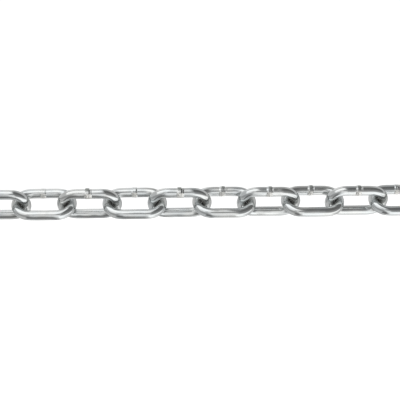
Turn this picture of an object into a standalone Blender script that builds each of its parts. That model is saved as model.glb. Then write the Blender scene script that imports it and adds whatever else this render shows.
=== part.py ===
"""A length of welded steel chain, laid out straight on a level floor.

Twelve oval links of round wire, hooked through one another in a row along X.
The links lean alternately to the front and to the back, as a chain lies when
it is pulled straight and let down, so each rests on its lower limb and carries
its weld at the middle of its upper one. Metres, +Z up, with the origin on the
floor under the middle of the row.
"""

import math

import bpy

# The chain, in metres
LINK_COUNT = 12
WIRE = 0.0055
PITCH = 0.0254
INSIDE_WIDTH = 0.0102
SLACK = 0.0004

# The lie of a link: the angle between its plane and the floor
LEAN = math.radians(48)

# The upset at the weld: how far it runs along the wire and how far it stands proud
WELD_LENGTH = 0.0036
WELD_PROUD = 0.00025
WELD_STEPS = 4

# The round wire is drawn with flats, and each end bow with straight steps. The
# flats face straight down, unturned, where a link leans at FLAT_LEAN.
FLATS = 12
FLAT_LEAN = math.radians(45)
BOW_STEPS = 12

# Bright zinc plating
ZINC_COLOUR = (0.68, 0.69, 0.69, 1.0)
ZINC_ROUGHNESS = 0.24

# Worked out from the sizes above
FLAT_ANGLE = math.tau / FLATS
WIRE_TO_FLAT = WIRE / (1 + 1 / math.cos(FLAT_ANGLE / 2))
WIRE_TO_CORNER = WIRE_TO_FLAT / math.cos(FLAT_ANGLE / 2)
BOW_RADIUS = (INSIDE_WIDTH + WIRE) / 2
CROWN_TO_CROWN = PITCH + SLACK + WIRE
BOW_CENTRE = CROWN_TO_CROWN / 2 - BOW_RADIUS
HINGE_TO_MIDDLE = PITCH - CROWN_TO_CROWN / 2
AXIS_HEIGHT = WIRE_TO_FLAT + BOW_RADIUS * math.sin(LEAN)

# How far the flats turn about the wire, so that one lies on the floor at LEAN
FLAT_TURN = FLAT_LEAN - LEAN

# A curve's bevel has four flats and two more for each step of its resolution
BEVEL_RESOLUTION = (FLATS - 4) // 2


def clear_scene():
    """Empty the file of objects."""
    for obj in list(bpy.data.objects):
        bpy.data.objects.remove(obj, do_unlink=True)


def zinc_plating():
    """The finish of every link."""
    material = bpy.data.materials.new("bright_zinc")
    material.use_nodes = True
    shader = material.node_tree.nodes["Principled BSDF"]
    shader.inputs["Base Color"].default_value = ZINC_COLOUR
    shader.inputs["Metallic"].default_value = 1.0
    shader.inputs["Roughness"].default_value = ZINC_ROUGHNESS
    return material


def bow(side):
    """Points round the end bow at +X (side 1) or -X (side -1), from limb to limb."""
    points = []
    for step in range(BOW_STEPS + 1):
        turn = side * math.pi / 2 * (2 * step / BOW_STEPS - 1)
        x = side * (BOW_CENTRE + BOW_RADIUS * math.cos(turn))
        points.append((x, BOW_RADIUS * math.sin(turn), 1.0))
    return points


def weld():
    """Points through the swelling at the middle of the +Y limb, running towards -X."""
    points = []
    for step in range(WELD_STEPS + 1):
        along = 1 - 2 * step / WELD_STEPS
        proud = WELD_PROUD * math.cos(along * math.pi / 2)
        points.append((along * WELD_LENGTH / 2, BOW_RADIUS, 1 + proud / WIRE_TO_FLAT))
    return points


def link_centreline():
    """The link's middle line as (x, y, thickness), once round, with the link's middle at x = 0."""
    return bow(1) + weld() + bow(-1)


def make_link(name, middle, leans_back, material):
    """One link, whose object stands on the axis of the wire that it hooks round at its -X end."""
    curve = bpy.data.curves.new(name, "CURVE")
    curve.dimensions = "3D"
    curve.twist_mode = "Z_UP"
    curve.bevel_depth = WIRE_TO_CORNER
    curve.bevel_resolution = BEVEL_RESOLUTION
    spline = curve.splines.new("POLY")
    spline.use_cyclic_u = True
    line = link_centreline()
    spline.points.add(len(line) - 1)
    turn = FLAT_TURN if leans_back else -FLAT_TURN
    for point, (x, y, thickness) in zip(spline.points, line):
        point.co = (x + HINGE_TO_MIDDLE, y, 0.0, 1.0)
        point.radius = thickness
        point.tilt = turn
    curve.materials.append(material)
    link = bpy.data.objects.new(name, curve)
    link.location = (middle - HINGE_TO_MIDDLE, 0.0, AXIS_HEIGHT)
    link.rotation_euler = (LEAN if leans_back else math.pi - LEAN, 0.0, 0.0)
    return link


def main():
    """Lay the links side by side, the odd ones leaning back and the even ones forward."""
    clear_scene()
    chain = bpy.data.collections.new("welded_steel_chain")
    bpy.context.scene.collection.children.link(chain)
    material = zinc_plating()
    for number in range(1, LINK_COUNT + 1):
        middle = (number - (LINK_COUNT + 1) / 2) * PITCH
        link = make_link(f"link_{number:02d}", middle, number % 2 == 1, material)
        chain.objects.link(link)


main()
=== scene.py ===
"""The looks of a straight length of bright zinc-plated, electric-welded steel chain.

Twelve oval links of round wire lie in a row over a pale studio floor, leaning
alternately to the back and to the front. Every link is one bent wire with its
weld at the middle of the limb that lies uppermost: a swelling with a rough, pale
skin, trimmed flush or left with a groove, a torn notch or a thin fin of flash.
Metres throughout, +Z up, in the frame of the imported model.
"""

import logging
import math
from dataclasses import dataclass, field
from enum import Enum

import bmesh
import bpy
import numpy as np
from mathutils import Matrix, Vector


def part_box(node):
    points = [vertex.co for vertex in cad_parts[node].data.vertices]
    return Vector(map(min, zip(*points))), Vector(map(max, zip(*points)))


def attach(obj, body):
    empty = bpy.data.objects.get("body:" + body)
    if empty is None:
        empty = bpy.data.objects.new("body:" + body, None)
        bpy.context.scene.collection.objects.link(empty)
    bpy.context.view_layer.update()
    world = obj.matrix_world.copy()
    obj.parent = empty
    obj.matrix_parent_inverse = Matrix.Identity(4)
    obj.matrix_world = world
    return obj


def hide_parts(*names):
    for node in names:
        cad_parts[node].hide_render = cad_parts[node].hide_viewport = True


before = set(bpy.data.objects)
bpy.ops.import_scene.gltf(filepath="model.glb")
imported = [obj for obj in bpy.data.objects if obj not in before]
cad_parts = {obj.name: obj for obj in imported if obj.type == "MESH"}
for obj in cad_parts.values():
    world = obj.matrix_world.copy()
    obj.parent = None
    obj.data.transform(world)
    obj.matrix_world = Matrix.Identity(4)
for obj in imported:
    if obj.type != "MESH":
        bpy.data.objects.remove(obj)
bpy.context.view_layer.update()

MM = 0.001

# What a node takes: a socket of another node, or a plain value
Socket = bpy.types.NodeSocket
Number = Socket | float
Colour = tuple[float, float, float, float]
Tint = Socket | Colour

WHITE: Colour = (1.0, 1.0, 1.0, 1.0)

# The chain. The model keeps its links a little apart, and here they nearly touch.
LINK_COUNT = 12
WIRE = 5.5 * MM
INSIDE_WIDTH = 10.2 * MM
TOUCH_GAP = 0.06 * MM
LEAN = math.radians(48)

# Names of the values that each link's mesh carries for its finish
WIRE_LINE = "wire_line"
WELD_SKIN = "weld_skin"
WELD_CAP = "weld_cap"
WELD_GAP = "weld_gap"
BEARING = "bearing"

log = logging.getLogger("chain")


def smooth_step(share: np.ndarray) -> np.ndarray:
    """Return share, held between 0 and 1, with its ends eased."""
    share = np.clip(share, 0.0, 1.0)
    return share * share * (3.0 - 2.0 * share)


def turn_between(turn: np.ndarray, centre: float) -> np.ndarray:
    """Return how far turn lies from centre, the short way round, in radians."""
    return (turn - centre + math.pi) % math.tau - math.pi


class Lean(Enum):
    """Which way a link leans from its lower limb, which lies on the floor."""

    BACK = "back"
    FRONT = "front"

    def rotation(self) -> Matrix:
        """Return the link's turn about its long axis."""
        return Matrix.Rotation(LEAN if self is Lean.BACK else math.pi - LEAN, 4, "X")

    def turn_facing(self, height: float) -> float:
        """Return the turn round the upper limb's wire that faces the front.

        Args:
            height: Degrees above the level line to the front, down to -90 underneath.

        Returns:
            The turn in radians, from the link's outer side.
        """
        tilt = math.degrees(LEAN)
        return math.radians(180.0 - tilt - height if self is Lean.BACK else tilt - height)


class WeldTrim(Enum):
    """How the flash of a weld was left by the trimming tool."""

    FLUSH = "flush"
    GROOVED = "grooved"
    NOTCHED = "notched"
    FLASHED = "flashed"


@dataclass(frozen=True)
class SkinPatch:
    """A raised or sunk patch on the wire.

    Attributes:
        along: Distance of its middle from the weld's middle, along the wire.
        half_length: Half its length along the wire.
        length_fade: How far it takes to fade out along the wire.
        turn: Turn of its middle round the wire, in radians.
        half_turn: Half its width round the wire, in degrees.
        turn_fade: How far it takes to fade out round the wire, in degrees.
        height: How far it stands proud, negative where it is sunk.
    """

    along: float
    half_length: float
    length_fade: float
    turn: float
    half_turn: float
    turn_fade: float
    height: float

    def cover(self, along: np.ndarray, turn: np.ndarray) -> np.ndarray:
        """Return how much of the patch lies at each place, from 0 to 1.

        Args:
            along: Distances from the weld's middle, along the wire.
            turn: Turns round the wire, in radians.

        Returns:
            One share for each place.
        """
        lengthwise = self.half_length + self.length_fade - np.abs(along - self.along)
        around = np.degrees(np.abs(turn_between(turn, self.turn)))
        crosswise = self.half_turn + self.turn_fade - around
        return smooth_step(lengthwise / self.length_fade) * smooth_step(crosswise / self.turn_fade)


@dataclass(frozen=True)
class Ripple:
    """Unevenness of a wire's skin, a sum of waves that close round the wire.

    Attributes:
        height: Rough height of the waves.
        shortest: Shortest wave along the wire.
        longest: Longest wave along the wire.
        most_round: Most waves once round the wire.
        count: How many waves are summed.
    """

    height: float
    shortest: float
    longest: float
    most_round: int
    count: int

    def spread(
        self, along: np.ndarray, turn: np.ndarray, rng: np.random.Generator
    ) -> np.ndarray:
        """Return the height of the skin at each place.

        Args:
            along: Distances along the wire.
            turn: Turns round the wire, in radians.
            rng: Source of the waves' lengths, directions and starts.

        Returns:
            One height for each place.
        """
        total = np.zeros_like(along)
        for _ in range(self.count):
            length = self.shortest * (self.longest / self.shortest) ** rng.random()
            rounds = rng.integers(-self.most_round, self.most_round + 1)
            start = rng.random() * math.tau
            total += np.cos(math.tau * along / length + rounds * turn + start)
        return self.height * total * math.sqrt(2.0 / self.count)


@dataclass
class Weld:
    """The butt weld of one link, at the middle of its upper limb.

    Attributes:
        trim: How its flash was trimmed.
        lean: Which way its link leans.
        offset: How far it sits from the limb's middle, towards +X.
        ridges: Raised patches that are plated as smoothly as the wire.
        skin: Raised patches with a rough, pale skin.
        cap: Raised patches that the trimming tool left dull and grey.
        gap: Open notches.
        grain: Unevenness of the rough patches.
    """

    trim: WeldTrim
    lean: Lean
    offset: float
    ridges: list[SkinPatch] = field(init=False)
    skin: list[SkinPatch] = field(init=False)
    cap: list[SkinPatch] = field(init=False)
    gap: list[SkinPatch] = field(init=False)
    grain: Ripple = Ripple(0.01 * MM, 0.5 * MM, 1.8 * MM, 20, 60)

    def __post_init__(self) -> None:
        """Lay out the patches for the trim, over the swelling that every weld has."""
        self.ridges = [self.patch(0.0, 0.6, 1.3, 0.0, 180.0, 10.0, 0.1)]
        self.skin = []
        self.cap = []
        self.gap = []
        if self.trim is WeldTrim.FLUSH:
            self.lay_flush()
        elif self.trim is WeldTrim.GROOVED:
            self.lay_grooved()
        elif self.trim is WeldTrim.NOTCHED:
            self.lay_notched()
        else:
            self.lay_flashed()

    def patch(
        self,
        along: float,
        half_length: float,
        length_fade: float,
        facing: float,
        half_turn: float,
        turn_fade: float,
        height: float,
    ) -> SkinPatch:
        """Return a patch from sizes in millimetres and from where it faces.

        Args:
            along: Distance of its middle from the weld's middle, towards +X.
            half_length: Half its length along the wire.
            length_fade: How far it takes to fade out along the wire.
            facing: Degrees above the level line to the front, where its middle faces.
            half_turn: Half its width round the wire, in degrees.
            turn_fade: How far it takes to fade out round the wire, in degrees.
            height: How far it stands proud, negative where it is sunk.

        Returns:
            The patch.
        """
        turn = self.lean.turn_facing(facing)
        lengths = (along * MM, half_length * MM, length_fade * MM)
        return SkinPatch(*lengths, turn, half_turn, turn_fade, height * MM)

    def lay_flush(self) -> None:
        """Lay out a weld trimmed flush: nothing but a pale skin below the swelling."""
        self.skin += [
            self.patch(0.05, 1.25, 0.35, -34.0, 28.0, 14.0, 0.09),
            self.patch(0.0, 1.0, 0.4, 175.0, 50.0, 20.0, 0.1),
        ]

    def lay_grooved(self) -> None:
        """Lay out a weld with a plated bump on top and the cutter's groove at its side."""
        self.lay_flush()
        self.ridges += [
            self.patch(0.1, 1.05, 0.5, 66.0, 44.0, 16.0, 0.09),
            self.patch(1.35, 0.12, 0.25, 40.0, 30.0, 16.0, -0.07),
        ]

    def lay_notched(self) -> None:
        """Lay out a weld whose flash was torn off: a grey cap, a notch and a pale skirt."""
        self.cap += [self.patch(-0.35, 0.95, 0.25, 74.0, 36.0, 10.0, 0.3)]
        self.gap += [self.patch(0.85, 0.12, 0.16, 26.0, 22.0, 9.0, -0.55)]
        self.ridges += [self.patch(1.5, 0.3, 0.35, 30.0, 34.0, 14.0, 0.05)]
        self.skin += [
            self.patch(0.1, 1.6, 0.5, -42.0, 36.0, 14.0, 0.16),
            self.patch(0.0, 1.1, 0.4, 170.0, 55.0, 20.0, 0.14),
        ]

    def lay_flashed(self) -> None:
        """Lay out a weld with a thin fin of flash left on, and tool marks beside it."""
        self.ridges += [
            self.patch(-0.55, 0.16, 0.3, 34.0, 50.0, 18.0, 0.2),
            self.patch(1.7, 0.1, 0.2, 34.0, 20.0, 14.0, 0.07),
            self.patch(2.35, 0.1, 0.2, 34.0, 20.0, 14.0, 0.07),
        ]
        self.cap += [self.patch(0.65, 0.75, 0.3, 82.0, 30.0, 14.0, 0.24)]
        self.gap += [self.patch(-0.3, 0.03, 0.12, -40.0, 26.0, 14.0, -0.16)]
        self.skin += [
            self.patch(0.0, 1.3, 0.5, -40.0, 30.0, 16.0, 0.08),
            self.patch(0.1, 1.0, 0.4, 175.0, 50.0, 20.0, 0.1),
        ]

    def masks(self, along: np.ndarray, turn: np.ndarray) -> dict[str, np.ndarray]:
        """Return the shares of rough skin, trimmed cap and open gap at each place.

        Args:
            along: Distances from the weld's middle, along the wire.
            turn: Turns round the wire, in radians.

        Returns:
            The shares by the name that the mesh carries them under.
        """
        named = {WELD_SKIN: self.skin, WELD_CAP: self.cap, WELD_GAP: self.gap}
        none = np.zeros_like(along)
        return {
            name: np.max([none] + [patch.cover(along, turn) for patch in patches], axis=0)
            for name, patches in named.items()
        }

    def relief(
        self, along: np.ndarray, turn: np.ndarray, rng: np.random.Generator
    ) -> np.ndarray:
        """Return how far the weld lifts the wire's skin at each place.

        Args:
            along: Distances from the weld's middle, along the wire.
            turn: Turns round the wire, in radians.
            rng: Source of the weld's grain.

        Returns:
            One height for each place.
        """
        lift = np.zeros_like(along)
        for patch in [*self.ridges, *self.skin, *self.cap, *self.gap]:
            lift += patch.height * patch.cover(along, turn)
        shares = self.masks(along, turn)
        rough = np.maximum(shares[WELD_SKIN], shares[WELD_CAP])
        return lift + self.grain.spread(along, turn, rng) * rough


@dataclass(frozen=True)
class SoftNoise:
    """How fine and how busy a soft noise is.

    Attributes:
        scale: Its fineness, in patches to the metre.
        detail: How many finer layers lie over it.
        rough: How strong the finer layers are.
    """

    scale: float
    detail: float = 3.0
    rough: float = 0.5


class NodeGraph:
    """A node tree with one short method for each kind of node that the finishes use."""

    def __init__(self, tree: bpy.types.NodeTree) -> None:
        """Keep the tree."""
        self.tree = tree

    def add(
        self, kind: str, inputs: dict[str | int, object] | None = None, **settings: object
    ) -> bpy.types.Node:
        """Add a node.

        Args:
            kind: The node's type.
            inputs: Values or output sockets for its inputs, by name or number.
            **settings: The node's own properties.

        Returns:
            The new node.
        """
        node = self.tree.nodes.new(kind)
        for name, value in settings.items():
            setattr(node, name, value)
        for key, value in (inputs or {}).items():
            if isinstance(value, Socket):
                self.tree.links.new(value, node.inputs[key])
            else:
                node.inputs[key].default_value = value
        return node

    def carried(self, name: str, output: str = "Fac") -> Socket:
        """Return a value that the mesh carries."""
        return self.add("ShaderNodeAttribute", attribute_name=name).outputs[output]

    def stretched(self, vector: Socket, scale: tuple[float, float, float]) -> Socket:
        """Return vector with each axis multiplied by its scale."""
        inputs = {0: vector, 1: scale}
        return self.add("ShaderNodeVectorMath", inputs, operation="MULTIPLY").outputs[0]

    def noise(self, vector: Socket, look: SoftNoise) -> Socket:
        """Return soft noise over vector."""
        inputs = {"Vector": vector, "Scale": look.scale, "Detail": look.detail, "Roughness": look.rough}
        return self.add("ShaderNodeTexNoise", inputs).outputs["Fac"]

    def remap(
        self, value: Socket, source: tuple[float, float], target: tuple[float, float] = (0.0, 1.0)
    ) -> Socket:
        """Return value eased from the source range to the target range."""
        inputs = {0: value, 1: source[0], 2: source[1], 3: target[0], 4: target[1]}
        return self.add("ShaderNodeMapRange", inputs, interpolation_type="SMOOTHSTEP").outputs[0]

    def maths(self, operation: str, first: Number, second: Number = 0.0) -> Socket:
        """Return the result of a sum on two numbers."""
        return self.add("ShaderNodeMath", {0: first, 1: second}, operation=operation).outputs[0]

    def mixed(self, share: Number, first: Number, second: Number) -> Socket:
        """Return the number that lies share of the way from first to second."""
        inputs = {0: share, 2: first, 3: second}
        return self.add("ShaderNodeMix", inputs, data_type="FLOAT").outputs[0]

    def tinted(self, share: Number, first: Tint, second: Tint) -> Socket:
        """Return the colour that lies share of the way from first to second."""
        inputs = {0: share, 6: first, 7: second}
        return self.add("ShaderNodeMix", inputs, data_type="RGBA").outputs[2]


@dataclass(frozen=True)
class WirePattern:
    """What varies over a link's wire, as sockets of its material.

    Attributes:
        wire: Place on the straightened wire.
        streaks: Noise drawn out along the wire.
        mottle: Noise of the smudges.
        bloom: Broad noise of the plating's hue.
        grain: Fine noise of the weld's skin.
        skin: Share of a weld's rough skin.
        cap: Share of a weld's trimmed cap.
        gap: Share of a weld's open notch.
        bearing: Share of the seat that bears on the next link.
    """

    wire: Socket
    streaks: Socket
    mottle: Socket
    bloom: Socket
    grain: Socket
    skin: Socket
    cap: Socket
    gap: Socket
    bearing: Socket


@dataclass(frozen=True)
class BrightZinc:
    """Bright zinc plating over drawn wire, duller and warmer on the welds.

    A reach gives the two values of a noise between which its effect sets in.

    Attributes:
        cool: Colour of the plating where it is thick and blue.
        warm: Colour where it has yellowed a little.
        dull: Colour of smudged places and of the drawn lines.
        joint_shade_and_grime: Colour of the painted shade between the links, with some oily dirt, in
            the seat where one link bears on the next.
        weld: Colour of a weld's rough skin.
        cap: Colour of a weld's trimmed cap.
        gap: Near-black colour down in a weld's open notch: painted shade of the recess over
            heat-blackened metal.
        gloss: Least and greatest roughness of the plating.
        weld_gloss: Least and greatest roughness of a weld.
        worn_gloss: Roughness where one link bears on the next.
        worn_metal: How much of the metal shows there through the painted shade and dirt.
        streaks: Noise of the drawn lines, before it is stretched.
        streak_stretch: How fine the drawn lines are along, across and through the wire.
        mottle: Noise of the smudges.
        bloom: Noise of the plating's hue.
        grain: Noise of the weld's skin.
        dent_scale: How many small dents there are to the metre.
        bloom_reach: Where the hue turns from cool to warm.
        smudge_reach: Where smudges set in.
        smudge_share: How strongly they show.
        line_reach: Where drawn lines set in.
        line_share: How strongly they show.
        gloss_reach: Where the smudges dull the plating.
        line_gloss_reach: Where the drawn lines dull it.
        line_gloss: How much roughness they add at most.
        grain_reach: Where the grain dulls the weld.
        dent_reach: Distances from a dent's middle between which it ends.
        relief_shares: Parts of drawn lines, smudges and dents in the plating's relief.
        relief_strength: How strongly that relief shows.
        relief_depth: How deep it is.
        grain_strength: How strongly the weld's relief shows.
        grain_depth: How deep it is.
    """

    cool: Colour = (0.69, 0.718, 0.724, 1.0)
    warm: Colour = (0.724, 0.734, 0.722, 1.0)
    dull: Colour = (0.56, 0.585, 0.58, 1.0)
    # Painted shade between the links, with some oily dirt: it darkens the seats where they bear on each
    # other
    joint_shade_and_grime: Colour = (0.3, 0.3, 0.285, 1.0)
    weld: Colour = (0.86, 0.858, 0.825, 1.0)
    cap: Colour = (0.36, 0.38, 0.36, 1.0)
    # Painted shade down in a weld's notch, over heat-blackened metal
    gap: Colour = (0.035, 0.033, 0.03, 1.0)
    gloss: tuple[float, float] = (0.07, 0.14)
    weld_gloss: tuple[float, float] = (0.3, 0.5)
    worn_gloss: float = 0.45
    worn_metal: float = 0.6
    streaks: SoftNoise = SoftNoise(1.0)
    streak_stretch: tuple[float, float, float] = (160.0, 2600.0, 2600.0)
    mottle: SoftNoise = SoftNoise(420.0, 4.0, 0.6)
    bloom: SoftNoise = SoftNoise(95.0, 2.0)
    grain: SoftNoise = SoftNoise(2600.0, 5.0, 0.65)
    dent_scale: float = 520.0
    bloom_reach: tuple[float, float] = (0.35, 0.65)
    smudge_reach: tuple[float, float] = (0.5, 0.8)
    smudge_share: float = 0.55
    line_reach: tuple[float, float] = (0.55, 0.8)
    line_share: float = 0.25
    gloss_reach: tuple[float, float] = (0.3, 0.75)
    line_gloss_reach: tuple[float, float] = (0.4, 0.8)
    line_gloss: float = 0.05
    grain_reach: tuple[float, float] = (0.3, 0.7)
    dent_reach: tuple[float, float] = (0.05, 0.2)
    relief_shares: tuple[float, float, float] = (0.35, 0.8, 0.2)
    relief_strength: float = 0.25
    relief_depth: float = 0.04 * MM
    grain_strength: float = 0.5
    grain_depth: float = 0.1 * MM

    def material(self) -> bpy.types.Material:
        """Make the finish.

        Returns:
            The material that all links share.
        """
        material = bpy.data.materials.new("bright_zinc_plating")
        material.use_nodes = True
        graph = NodeGraph(material.node_tree)
        shader = material.node_tree.nodes["Principled BSDF"]
        pattern = self.pattern(graph)
        sockets = {
            "Base Color": self.colour(graph, pattern),
            "Metallic": graph.mixed(pattern.bearing, 1.0, self.worn_metal),
            "Roughness": self.roughness(graph, pattern),
            "Normal": self.bumps(graph, pattern),
        }
        for name, socket in sockets.items():
            graph.tree.links.new(socket, shader.inputs[name])
        return material

    def pattern(self, graph: NodeGraph) -> WirePattern:
        """Add what varies over the wire.

        Args:
            graph: The material's nodes.

        Returns:
            The noises, and the shares that the mesh carries.
        """
        wire = graph.carried(WIRE_LINE, "Vector")
        return WirePattern(
            wire=wire,
            streaks=graph.noise(graph.stretched(wire, self.streak_stretch), self.streaks),
            mottle=graph.noise(wire, self.mottle),
            bloom=graph.noise(wire, self.bloom),
            grain=graph.noise(wire, self.grain),
            skin=graph.carried(WELD_SKIN),
            cap=graph.carried(WELD_CAP),
            gap=graph.carried(WELD_GAP),
            bearing=graph.carried(BEARING),
        )

    def colour(self, graph: NodeGraph, pattern: WirePattern) -> Socket:
        """Lay smudges, lines and the painted shade and dirt of the joints over the plating, then the
        weld's parts over it, its notch in painted shade.

        Args:
            graph: The material's nodes.
            pattern: What varies over the wire.

        Returns:
            The base colour.
        """
        plating = graph.tinted(graph.remap(pattern.bloom, self.bloom_reach), self.cool, self.warm)
        smudge = graph.remap(pattern.mottle, self.smudge_reach)
        plating = graph.tinted(graph.maths("MULTIPLY", smudge, self.smudge_share), plating, self.dull)
        line = graph.remap(pattern.streaks, self.line_reach)
        plating = graph.tinted(graph.maths("MULTIPLY", line, self.line_share), plating, self.dull)
        # Painted shade in the joints: the seats where the links bear are darkened, partly as oily dirt
        plating = graph.tinted(pattern.bearing, plating, self.joint_shade_and_grime)
        with_skin = graph.tinted(pattern.skin, plating, self.weld)
        with_cap = graph.tinted(pattern.cap, with_skin, self.cap)
        # The notch is painted near-black: painted shade of the recess over heat-blackened metal
        return graph.tinted(pattern.gap, with_cap, self.gap)

    def roughness(self, graph: NodeGraph, pattern: WirePattern) -> Socket:
        """Dull the plating by smudges, drawn lines and wear, and the welds by their grain.

        Args:
            graph: The material's nodes.
            pattern: What varies over the wire.

        Returns:
            The roughness.
        """
        plating = graph.remap(pattern.mottle, self.gloss_reach, self.gloss)
        lines = graph.remap(pattern.streaks, self.line_gloss_reach, (0.0, self.line_gloss))
        plating = graph.maths("ADD", plating, lines)
        weld = graph.remap(pattern.grain, self.grain_reach, self.weld_gloss)
        worn = graph.mixed(pattern.bearing, plating, self.worn_gloss)
        return graph.mixed(graph.maths("MAXIMUM", pattern.skin, pattern.cap), worn, weld)

    def bumps(self, graph: NodeGraph, pattern: WirePattern) -> Socket:
        """Add the fine relief: drawn lines, small dents and the weld's grain.

        Args:
            graph: The material's nodes.
            pattern: What varies over the wire.

        Returns:
            The normal.
        """
        dents = graph.add("ShaderNodeTexVoronoi", {"Vector": pattern.wire, "Scale": self.dent_scale})
        pits = graph.remap(dents.outputs["Distance"], self.dent_reach)
        parts = [
            graph.maths("MULTIPLY", part, share)
            for part, share in zip((pattern.streaks, pattern.mottle, pits), self.relief_shares)
        ]
        fine = graph.maths("ADD", graph.maths("ADD", parts[0], parts[1]), parts[2])
        drawn = graph.add(
            "ShaderNodeBump",
            {"Strength": self.relief_strength, "Distance": self.relief_depth, "Height": fine},
        )
        welded = graph.add(
            "ShaderNodeBump",
            {
                "Strength": self.grain_strength,
                "Distance": self.grain_depth,
                "Height": graph.maths("MULTIPLY", pattern.grain, pattern.skin),
                "Normal": drawn.outputs["Normal"],
            },
        )
        return welded.outputs["Normal"]


@dataclass(frozen=True)
class LitAcrylic:
    """The white acrylic of a light table, lit from below so that no shadow shows on it.

    Attributes:
        colour: Colour of the sheet.
        glow: Brightness of the light that comes through it.
        roughness: Its roughness.
    """

    colour: Colour = (0.3, 0.3, 0.3, 1.0)
    glow: float = 0.93
    roughness: float = 0.9

    def material(self) -> bpy.types.Material:
        """Make the finish.

        Returns:
            The floor's material.
        """
        material = bpy.data.materials.new("lit_acrylic")
        material.use_nodes = True
        shader = material.node_tree.nodes["Principled BSDF"]
        shader.inputs["Base Color"].default_value = self.colour
        shader.inputs["Roughness"].default_value = self.roughness
        shader.inputs["Specular IOR Level"].default_value = 0.0
        shader.inputs["Emission Color"].default_value = WHITE
        shader.inputs["Emission Strength"].default_value = self.glow
        return material


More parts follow.
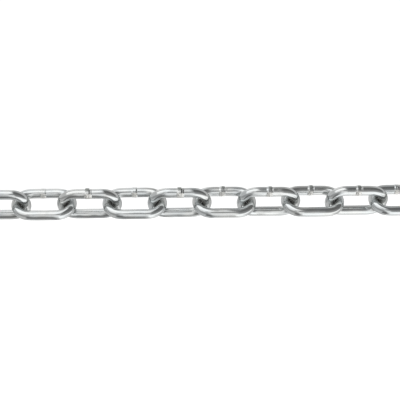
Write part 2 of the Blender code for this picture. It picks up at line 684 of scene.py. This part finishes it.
@dataclass
class ChainLink:
    """One oval link of round wire with its weld.

    Attributes:
        number: Which link it is, from 1 at the -X end.
        weld: Its weld.
        length: Its length over the end bows.
        rounds: Points round the wire.
        fine_step: Distance between rings near the weld.
        coarse_step: Distance between rings elsewhere.
        fine_reach: How far from the weld the rings stay close.
        easing: How far each bend takes to set in, either side of the limb's end.
        easing_samples: How many places on that stretch are averaged.
        seat_half: Half the width of the worn seat in an end bow, where painted shade darkens the zinc,
            in degrees.
        seat_fade: How far the seat takes to fade out, in degrees.
        waves: Slow unevenness of the wire from bending and drawing.
        seed: Start of the random draws, to which the link's number is added.
    """

    number: int
    weld: Weld
    length: float
    rounds: int = 72
    fine_step: float = 0.1 * MM
    coarse_step: float = 0.45 * MM
    fine_reach: float = 3.6 * MM
    easing: float = 2.8 * MM
    easing_samples: int = 25
    seat_half: float = 24.0
    seat_fade: float = 62.0
    waves: Ripple = Ripple(0.02 * MM, 9.0 * MM, 40.0 * MM, 3, 14)
    seed: int = 100

    @property
    def node(self) -> str:
        """Return the name of the link's node and body in the frame."""
        return f"link_{self.number:02d}"

    @property
    def bow_radius(self) -> float:
        """Return the radius of an end bow, to the middle of the wire."""
        return (INSIDE_WIDTH + WIRE) / 2

    @property
    def bow_centre(self) -> float:
        """Return the distance from the link's middle to the centre of a bow."""
        eased = self.easing / self.bow_radius
        return self.length / 2 - WIRE / 2 - self.bow_radius * math.sin(eased) / eased

    @property
    def wire_length(self) -> float:
        """Return the length of wire in the link, along its middle."""
        return 4 * self.bow_centre + math.tau * self.bow_radius

    def ring_runs(self) -> np.ndarray:
        """Space the rings, closely near the weld and wider elsewhere.

        Returns:
            The distance of each ring along the wire, from the weld's middle.
        """
        total = self.wire_length
        fine = np.arange(0.0, self.fine_reach, self.fine_step)
        between = total - 2 * self.fine_reach
        steps = round(between / self.coarse_step)
        coarse = self.fine_reach + np.arange(steps) * between / steps
        return np.concatenate([fine, coarse, total - self.fine_reach + fine])

    def centreline(self, run: np.ndarray) -> tuple[np.ndarray, np.ndarray]:
        """Return the wire's middle and its outward direction in the link's plane.

        The limbs run into the end bows little by little: each point is the mean of the
        stretch around it on a plain oval of straight limbs and round bows.

        Args:
            run: Distances along the wire from the middle of the upper limb, towards +X.

        Returns:
            The points and the unit directions, each as rows of (x, y).
        """
        stretch = np.linspace(-self.easing, self.easing, self.easing_samples)
        ovals = [self.plain_oval(run + step) for step in stretch]
        middle = np.mean([oval[0] for oval in ovals], axis=0)
        outward = np.mean([oval[1] for oval in ovals], axis=0)
        return middle, outward / np.linalg.norm(outward, axis=-1, keepdims=True)

    def plain_oval(self, run: np.ndarray) -> tuple[np.ndarray, np.ndarray]:
        """Return the points and outward directions of an oval of straight limbs and round bows.

        Args:
            run: Distances along the oval from the middle of the upper limb, towards +X.

        Returns:
            The points and the unit directions, each as rows of (x, y).
        """
        limb = self.bow_centre
        bow = math.pi * self.bow_radius
        run = run % self.wire_length
        bent = np.clip(run - limb, 0, bow) + np.clip(run - 3 * limb - bow, 0, bow)
        heading = bent / self.bow_radius
        slid = (
            np.clip(run, 0, limb)
            - np.clip(run - limb - bow, 0, 2 * limb)
            + np.clip(run - 3 * limb - 2 * bow, 0, limb)
        )
        outward = np.stack([np.sin(heading), np.cos(heading)], axis=-1)
        middle = outward * self.bow_radius
        middle[..., 0] += slid
        return middle, outward

    def skin_points(self, run: np.ndarray, turn: np.ndarray, lift: np.ndarray) -> np.ndarray:
        """Return the points of the wire's skin, in the link's own frame.

        Args:
            run: Distances along the wire from the weld's middle.
            turn: Turns round the wire, from its outer side.
            lift: How far the skin stands out from true round wire.

        Returns:
            Rows of (x, y, z), where the link's plane is XY.
        """
        middle, outward = self.centreline(run + self.weld.offset)
        radius = WIRE / 2 + lift
        points = np.empty(run.shape + (3,))
        points[..., :2] = middle + outward * (radius * np.cos(turn))[..., None]
        points[..., 2] = radius * np.sin(turn)
        return points

    def build(self, finish: bpy.types.Material) -> bpy.types.Object:
        """Make the link, stand it in its node's place and dress it.

        Args:
            finish: The plating.

        Returns:
            The link, which rides on its body.
        """
        rng = np.random.default_rng(self.seed + self.number)
        turns = np.arange(self.rounds) * math.tau / self.rounds
        run, turn = np.meshgrid(self.ring_runs(), turns, indexing="ij")
        along = np.where(run > self.wire_length / 2, run - self.wire_length, run)
        lift = self.waves.spread(run, turn, rng) + self.weld.relief(along, turn, rng)
        mesh = self.mesh(self.skin_points(run, turn, lift))
        mesh.transform(self.place())
        self.carry(mesh, WIRE_LINE, self.wire_line(run, turn))
        for name, share in self.weld.masks(along, turn).items():
            self.carry(mesh, name, share)
        self.carry(mesh, BEARING, self.bearing(run, turn))
        mesh.materials.append(finish)
        link = bpy.data.objects.new(f"zinc_{self.node}", mesh)
        bpy.context.scene.collection.objects.link(link)
        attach(link, self.node)
        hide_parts(self.node)
        log.info("%s: %d faces, weld %s", link.name, len(mesh.polygons), self.weld.trim.value)
        return link

    @staticmethod
    def carry(mesh: bpy.types.Mesh, name: str, values: np.ndarray) -> None:
        """Store values on the mesh's points, for the finish.

        Args:
            mesh: The mesh.
            name: The name that the finish reads them under.
            values: By ring and by place round it, one number or one row of three each.
        """
        kind, key = ("FLOAT_VECTOR", "vector") if values.ndim == 3 else ("FLOAT", "value")
        carried = mesh.attributes.new(name, kind, "POINT")
        carried.data.foreach_set(key, values.astype(np.float32).ravel())

    def wire_line(self, run: np.ndarray, turn: np.ndarray) -> np.ndarray:
        """Return places on the straightened wire, which the finish's noises follow.

        Args:
            run: Distances along the wire from the weld's middle.
            turn: Turns round the wire, from its outer side.

        Returns:
            Rows of (along, across, through), on a stretch of wire of the link's own.
        """
        line = np.stack([run, np.cos(turn) * WIRE / 2, np.sin(turn) * WIRE / 2], axis=-1)
        line[..., 0] += self.number * self.wire_length
        return line

    def bearing(self, run: np.ndarray, turn: np.ndarray) -> np.ndarray:
        """Return how far each place lies in the seat that bears on the next link, which the finish
        darkens with painted shade and some dirt.

        Args:
            run: Distances along the wire from the weld's middle.
            turn: Turns round the wire, from its outer side.

        Returns:
            One share for each place, 1 in the middle of an end bow's inner side.
        """
        outward = self.centreline(run + self.weld.offset)[1]
        from_crown = np.degrees(np.arccos(np.clip(np.abs(outward[..., 0]), 0.0, 1.0)))
        from_inside = np.degrees(np.abs(turn_between(turn, math.pi)))
        lengthwise = (self.seat_half + self.seat_fade - from_crown) / self.seat_fade
        crosswise = (self.seat_half + self.seat_fade - from_inside) / self.seat_fade
        return smooth_step(lengthwise) * smooth_step(crosswise)

    def mesh(self, points: np.ndarray) -> bpy.types.Mesh:
        """Return the closed skin through rings of points.

        Args:
            points: The points, by ring and by place round the ring.

        Returns:
            The mesh, shaded smooth.
        """
        skin = bmesh.new()
        rings = [[skin.verts.new(point) for point in ring] for ring in points.tolist()]
        for ring, following in zip(rings, rings[1:] + rings[:1]):
            beside = zip(ring, ring[1:] + ring[:1], following[1:] + following[:1], following)
            for corners in beside:
                skin.faces.new(corners).smooth = True
        skin.normal_update()
        mesh = bpy.data.meshes.new(f"zinc_{self.node}")
        skin.to_mesh(mesh)
        skin.free()
        return mesh

    def place(self) -> Matrix:
        """Find where the link stands, from its node's box.

        Returns:
            The transform from the link's own frame.
        """
        low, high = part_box(self.node)
        middle = (low[0] + high[0]) / 2
        axis = WIRE / 2 + self.bow_radius * math.sin(LEAN)
        return Matrix.Translation((middle, 0.0, axis)) @ self.weld.lean.rotation()


@dataclass
class ChainLength:
    """The whole length of chain.

    Attributes:
        finish: The plating that all links share.
        trims: How the welds were trimmed, in turn along the chain.
        offsets: How far the welds sit from their limbs' middles, in turn along the chain.
    """

    finish: BrightZinc = BrightZinc()
    trims: tuple[WeldTrim, ...] = (
        WeldTrim.FLUSH,
        WeldTrim.NOTCHED,
        WeldTrim.FLUSH,
        WeldTrim.NOTCHED,
        WeldTrim.GROOVED,
        WeldTrim.NOTCHED,
        WeldTrim.FLASHED,
        WeldTrim.FLASHED,
        WeldTrim.FLASHED,
        WeldTrim.FLASHED,
        WeldTrim.GROOVED,
        WeldTrim.NOTCHED,
    )
    offsets: tuple[float, ...] = (
        -0.4 * MM,
        -0.2 * MM,
        -0.85 * MM,
        -0.45 * MM,
        -0.15 * MM,
        0.1 * MM,
        -0.8 * MM,
        -0.3 * MM,
        -0.5 * MM,
        -0.3 * MM,
        -0.6 * MM,
        -0.3 * MM,
    )

    def build(self) -> list[bpy.types.Object]:
        """Make every link.

        Returns:
            The links, in order from the -X end.
        """
        material = self.finish.material()
        length = self.pitch() + 2 * WIRE + TOUCH_GAP
        links = []
        for number in range(1, LINK_COUNT + 1):
            lean = Lean.BACK if number % 2 else Lean.FRONT
            weld = Weld(self.trims[number - 1], lean, self.offsets[number - 1])
            links.append(ChainLink(number, weld, length).build(material))
        return links

    def pitch(self) -> float:
        """Measure the distance from each link to the next, from the nodes' boxes.

        Returns:
            The pitch.
        """
        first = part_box("link_01")
        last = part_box(f"link_{LINK_COUNT:02d}")
        return (last[0][0] - first[0][0]) / (LINK_COUNT - 1)


@dataclass(frozen=True)
class LightCard:
    """One soft-edged card of the studio, far off, as a patch of the sky.

    Tilts are in degrees from the front: 90 is overhead, -90 below and 180 behind.
    Side angles are in degrees from straight across the chain, towards +X.

    Attributes:
        name: What the card is.
        tilts: Its lowest and highest tilt.
        tilt_edge: Half the width of its soft edge in tilt.
        sides: Its leftmost and rightmost side angle.
        side_edge: Half the width of its soft edge sideways.
        glow: Its brightness.
    """

    name: str
    tilts: tuple[float, float]
    tilt_edge: float
    sides: tuple[float, float]
    side_edge: float
    glow: float

    def over(self, graph: NodeGraph, tilt: Socket, side: Socket, behind: Number) -> Socket:
        """Lay the card over what is behind it.

        Args:
            graph: The sky's nodes.
            tilt: The tilt of each direction, in degrees.
            side: The side angle of each direction, in degrees.
            behind: The brightness so far.

        Returns:
            The brightness with the card in place.
        """
        high = self.inside(graph, tilt, self.tilts, self.tilt_edge)
        wide = self.inside(graph, side, self.sides, self.side_edge)
        return graph.mixed(graph.maths("MULTIPLY", high, wide), behind, self.glow)

    @staticmethod
    def inside(graph: NodeGraph, angle: Socket, reach: tuple[float, float], edge: float) -> Socket:
        """Tell where an angle is inside a reach.

        Args:
            graph: The sky's nodes.
            angle: The angle of each direction, in degrees.
            reach: The lowest and the highest angle inside.
            edge: Half the width of the soft edge.

        Returns:
            1 inside, easing to 0 over the edge.
        """
        middle = (reach[0] + reach[1]) / 2
        half = (reach[1] - reach[0]) / 2
        offset = graph.add(
            "ShaderNodeMath",
            {0: graph.maths("SUBTRACT", angle, middle), 1: 180.0, 2: -180.0},
            operation="WRAP",
        ).outputs[0]
        return graph.remap(graph.maths("ABSOLUTE", offset), (half + edge, half - edge))


@dataclass
class Studio:
    """The light table, the soft lamp over it, and the cards that the zinc mirrors.

    The chain lies on clear glass, which isn't modelled, well above the table. So it
    throws no shadow that shows, and the links that swing low stay in sight.

    Attributes:
        floor_side: Side of the square floor.
        floor_drop: How far it lies below the glass.
        room_glow: Brightness of the room where there is no card.
        seen_glow: Brightness of the backdrop as the camera sees it.
        lamp_side: Side of the square lamp overhead.
        lamp_height: Its height.
        lamp_power: Its power in watts.
        cards: The cards, each laid over those before it.
    """

    floor_side: float = 12.0
    floor_drop: float = 250.0 * MM
    room_glow: float = 0.6
    seen_glow: float = 1.08
    lamp_side: float = 3.0
    lamp_height: float = 2.0
    lamp_power: float = 25.0
    cards: tuple[LightCard, ...] = (
        LightCard("rear_wall", (141.0, 219.0), 6.0, (-90.0, 90.0), 1.0, 0.55),
        LightCard("rear_left", (141.0, 219.0), 6.0, (-75.0, -21.0), 5.0, 0.7),
        LightCard("rear_right", (158.0, 196.0), 6.0, (5.0, 45.0), 4.0, 0.38),
        LightCard("rear_low", (183.0, 221.0), 6.0, (-19.0, 5.0), 4.0, 0.36),
        LightCard("rear_softbox", (100.0, 138.0), 5.0, (-34.0, 1.0), 4.0, 0.97),
        LightCard("rear_strip", (126.0, 160.0), 5.0, (-12.0, 5.0), 2.5, 0.83),
        LightCard("rear_flag", (98.0, 124.0), 6.0, (3.0, 16.0), 4.0, 0.4),
        LightCard("key_softbox", (32.0, 81.0), 5.0, (-49.0, 3.0), 2.5, 1.33),
        LightCard("key_corner", (33.0, 58.0), 5.0, (0.0, 7.0), 2.5, 1.0),
        LightCard("key_skirt", (8.0, 38.0), 6.0, (-50.0, -18.0), 5.0, 1.0),
        LightCard("overhead_gap", (84.0, 98.0), 4.0, (-46.0, 70.0), 4.0, 0.42),
        LightCard("upper_strip", (76.0, 94.0), 4.0, (-10.0, -4.0), 2.0, 0.95),
        LightCard("black_flag", (60.0, 84.0), 6.0, (6.0, 70.0), 2.5, 0.15),
        LightCard("side_flag", (14.0, 76.0), 7.0, (8.0, 75.0), 5.0, 0.16),
        LightCard("front_gap", (4.0, 23.0), 5.0, (-2.5, 70.0), 3.0, 0.3),
        LightCard("front_fill", (-50.0, 0.0), 6.0, (-5.0, 10.0), 2.5, 0.97),
        LightCard("level_card", (-5.0, 20.0), 5.0, (-11.0, -4.0), 2.0, 0.87),
        LightCard("right_gap", (-12.0, 10.0), 6.0, (12.0, 80.0), 3.0, 0.27),
        LightCard("left_shade", (-50.0, 1.0), 6.0, (-90.0, -13.0), 4.0, 0.38),
        LightCard("floor_shade", (-87.0, -35.0), 6.0, (-24.0, -3.0), 3.5, 0.19),
        LightCard("floor_notch", (-88.0, -56.0), 5.0, (-8.0, 0.0), 2.0, 0.24),
        LightCard("low_bounce", (-90.0, -30.0), 5.0, (6.0, 78.0), 3.0, 1.34),
        LightCard("side_bounce", (-92.0, -58.0), 5.0, (31.0, 78.0), 6.0, 0.85),
        LightCard("under_gap", (-95.0, -83.0), 4.0, (-6.0, 9.0), 3.0, 0.17),
        LightCard("rear_bounce", (-136.0, -97.0), 5.0, (3.0, 34.0), 5.0, 1.02),
        LightCard("under_shade", (-138.0, -104.0), 6.0, (-5.0, 1.0), 2.0, 0.38),
        LightCard("left_under", (-188.0, -100.0), 8.0, (-90.0, -47.0), 6.0, 0.4),
    )

    def build(self) -> None:
        """Make the floor, the lamp and the sky."""
        self.floor()
        self.lamp()
        self.sky()
        bpy.context.scene.view_settings.view_transform = "Standard"
        log.info("studio: floor, lamp and %d cards", len(self.cards))

    def floor(self) -> None:
        """Lay the light table, which the zinc doesn't mirror: the cards stand for it."""
        sheet = bmesh.new()
        bmesh.ops.create_grid(sheet, x_segments=1, y_segments=1, size=self.floor_side / 2)
        mesh = bpy.data.meshes.new("studio_floor")
        sheet.to_mesh(mesh)
        sheet.free()
        mesh.materials.append(LitAcrylic().material())
        floor = bpy.data.objects.new("studio_floor", mesh)
        bpy.context.scene.collection.objects.link(floor)
        floor.location = (0.0, 0.0, -self.floor_drop)
        floor.visible_glossy = False

    def lamp(self) -> None:
        """Hang the soft lamp over the table."""
        light = bpy.data.lights.new("floor_lamp", "AREA")
        light.size = self.lamp_side
        light.energy = self.lamp_power
        lamp = bpy.data.objects.new("floor_lamp", light)
        lamp.location = (0.0, 0.0, self.lamp_height)
        lamp.visible_glossy = False
        lamp.visible_camera = False
        bpy.context.scene.collection.objects.link(lamp)

    def sky(self) -> None:
        """Set the room and its cards as the world, which the camera sees as plain white."""
        world = bpy.data.worlds.new("studio_room")
        world.use_nodes = True
        bpy.context.scene.world = world
        graph = NodeGraph(world.node_tree)
        direction = graph.add("ShaderNodeTexCoord").outputs["Generated"]
        axes = graph.add("ShaderNodeSeparateXYZ", {0: direction}).outputs
        forward = graph.maths("MULTIPLY", axes["Y"], -1.0)
        tilt = graph.maths("DEGREES", graph.maths("ARCTAN2", axes["Z"], forward))
        side = graph.maths("DEGREES", graph.maths("ARCSINE", axes["X"]))
        glow: Number = self.room_glow
        for card in self.cards:
            glow = card.over(graph, tilt, side, glow)
        seen = graph.add("ShaderNodeLightPath").outputs["Is Camera Ray"]
        glow = graph.mixed(seen, glow, self.seen_glow)
        background = world.node_tree.nodes["Background"]
        world.node_tree.links.new(glow, background.inputs["Strength"])
        background.inputs["Color"].default_value = WHITE


@dataclass
class PhotoCamera:
    """The camera at the photograph's place, low at the front and close to the chain.

    Attributes:
        distance: From the camera to the point that it looks at.
        lens: Focal length in millimetres.
        sensor: Sensor width in millimetres.
        yaw: How far it stands to the right of straight in front, in radians, negative to the left.
        rise: How far it looks down, in degrees.
        roll: How far it is turned about its own line of sight, in radians.
        aim_right: How far the point it looks at lies right of the chain's middle.
        aim_up: How far that point lies above the chain's axis.
        aim_height: Height of the chain's axis.
        nearest: Distance from which on it sees things.
    """

    distance: float = 480.8 * MM
    lens: float = 76.10
    sensor: float = 36.0
    yaw: float = -0.0605
    rise: float = 3.05
    roll: float = 0.0088
    aim_right: float = -1.09 * MM
    aim_up: float = 1.37 * MM
    aim_height: float = 8.59 * MM
    nearest: float = 10.0 * MM

    def build(self) -> bpy.types.Object:
        """Make the camera and set it as the scene's.

        Returns:
            The camera.
        """
        rise = math.radians(self.rise)
        back = Vector(
            (
                math.sin(self.yaw) * math.cos(rise),
                -math.cos(self.yaw) * math.cos(rise),
                math.sin(rise),
            )
        )
        right = Vector((math.cos(self.yaw), math.sin(self.yaw), 0.0))
        up = back.cross(right)
        aim = Vector((0.0, 0.0, self.aim_height)) + self.aim_right * right + self.aim_up * up
        turn = Matrix((right, up, back)).transposed().to_4x4()
        data = bpy.data.cameras.new("photo_camera")
        data.lens = self.lens
        data.sensor_width = self.sensor
        data.clip_start = self.nearest
        camera = bpy.data.objects.new("photo_camera", data)
        bpy.context.scene.collection.objects.link(camera)
        camera.matrix_world = (
            Matrix.Translation(aim + back * self.distance)
            @ turn
            @ Matrix.Rotation(-self.roll, 4, "Z")
        )
        bpy.context.scene.camera = camera
        log.info("camera: %.0f mm lens at %.2f m", self.lens, self.distance)
        return camera


def main() -> None:
    """Build the camera, the chain and the studio."""
    logging.basicConfig(level=logging.INFO, format="%(message)s")
    PhotoCamera().build()
    links = ChainLength().build()
    log.info("chain: %d links", len(links))
    Studio().build()


if __name__ == "__main__":
    main()
